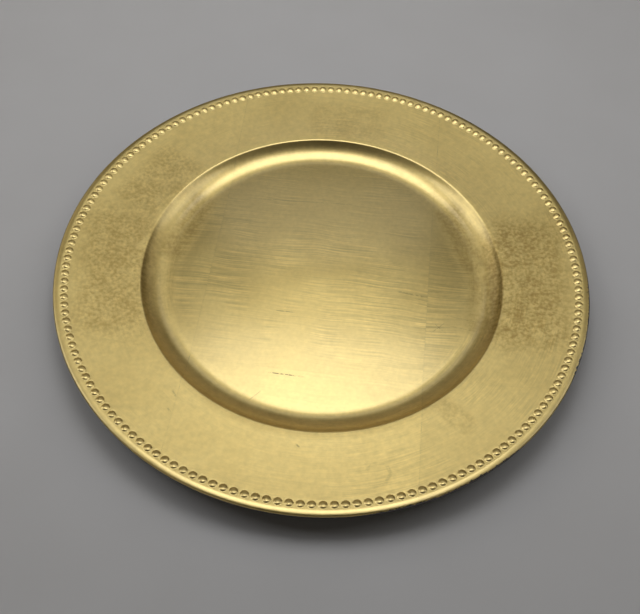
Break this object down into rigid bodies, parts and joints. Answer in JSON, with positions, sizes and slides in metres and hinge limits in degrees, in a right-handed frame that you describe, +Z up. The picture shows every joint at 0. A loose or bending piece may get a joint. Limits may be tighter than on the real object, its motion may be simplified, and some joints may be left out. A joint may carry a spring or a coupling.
{
  "type": "charger plate",
  "caption": "Round plastic charger plate with a sunken well, a wide rising rim, a ring of raised beads inside a rolled lip and a face covered with sheets of gold leaf.",
  "frame": {"origin": "centre of the plate on the surface that the foot ring stands on", "axes": "+Z up along the plate's axis; -Y towards the side that the picture looks from; +X to the right in the picture"},
  "size_m": [0.33, 0.33, 0.019],
  "materials": {
    "black_plastic": "smooth black moulding with a soft sheen",
    "gold_leaf": "brushed and lacquered imitation gold leaf with visible laps, strokes and rubbed edges"
  },
  "bodies": {
    "root": {"plate_body": "black_plastic", "leaf_front_left": "gold_leaf", "leaf_front_middle": "gold_leaf", "leaf_front_right": "gold_leaf", "leaf_lower_left": "gold_leaf", "leaf_lower_middle": "gold_leaf", "leaf_lower_right": "gold_leaf", "leaf_upper_left": "gold_leaf", "leaf_upper_middle": "gold_leaf", "leaf_upper_right": "gold_leaf", "leaf_back_left": "gold_leaf", "leaf_back_middle": "gold_leaf", "leaf_back_right": "gold_leaf"}
  },
  "joints": []
}
